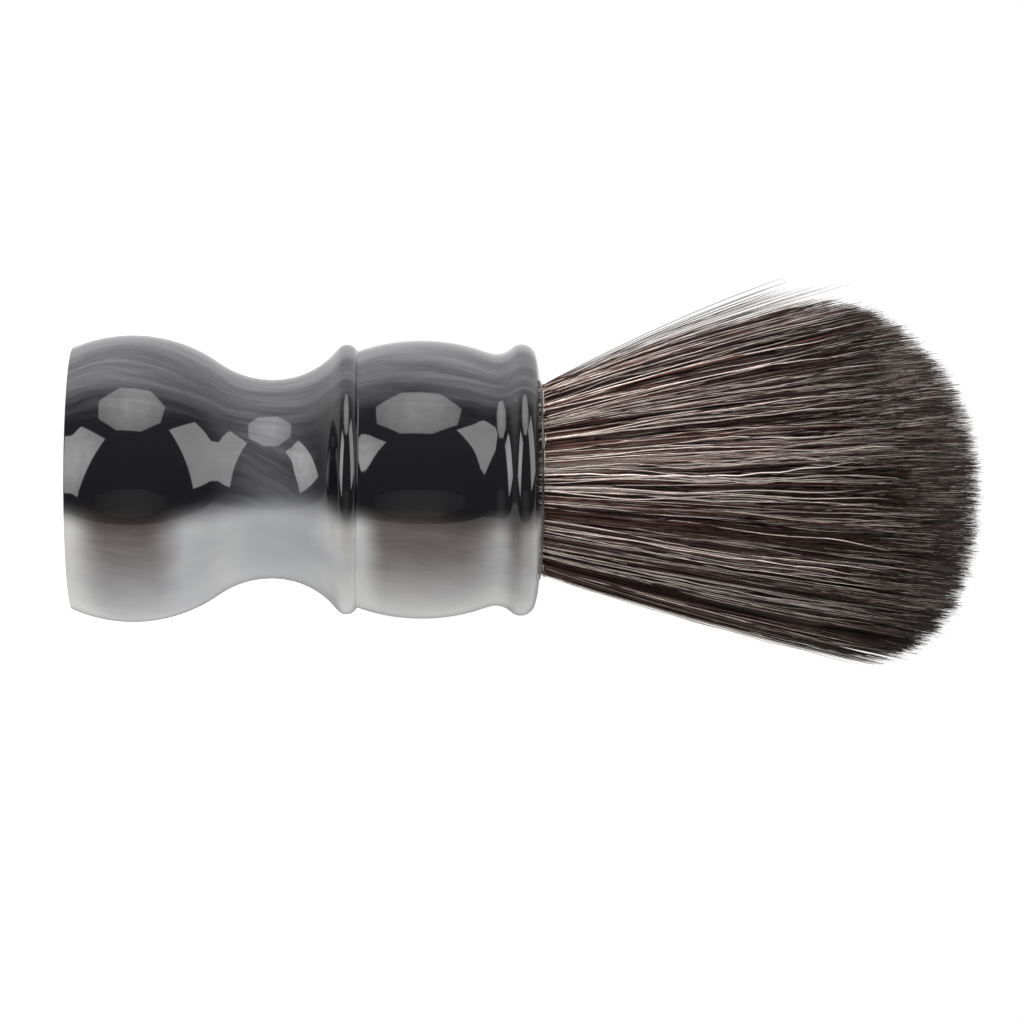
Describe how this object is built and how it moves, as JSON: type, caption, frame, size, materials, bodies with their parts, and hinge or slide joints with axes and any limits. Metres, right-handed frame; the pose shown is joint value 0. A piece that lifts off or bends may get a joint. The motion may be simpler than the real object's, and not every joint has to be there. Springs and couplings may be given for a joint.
{
  "type": "shaving brush",
  "caption": "Shaving brush: turned marbled resin handle with a flared, domed knot of dark synthetic fibre.",
  "frame": {"origin": "centre of the flat base of the handle, on the surface that the brush stands on", "axes": "+Z along the brush's axis, from the base to the tips of the fibre; the pale side of the resin faces +X"},
  "size_m": [0.0446, 0.0446, 0.113],
  "materials": {
    "handle_resin": "polished cast resin, marbled black, smoke grey and milky white",
    "adhesive": "cured clear epoxy, glossy, dark where it lies against the knot",
    "collar_plastic": "moulded black plastic",
    "potting": "cast dark resin",
    "thread": "waxed cotton thread",
    "fibre": "fine synthetic fibre, dark brown with pale, reddish and black strands"
  },
  "bodies": {
    "root": {"handle": "handle_resin", "setting_adhesive": "adhesive", "knot_collar": "collar_plastic", "potting_resin": "potting", "binding_thread": "thread", "bristle_tuft": "fibre"}
  },
  "joints": []
}
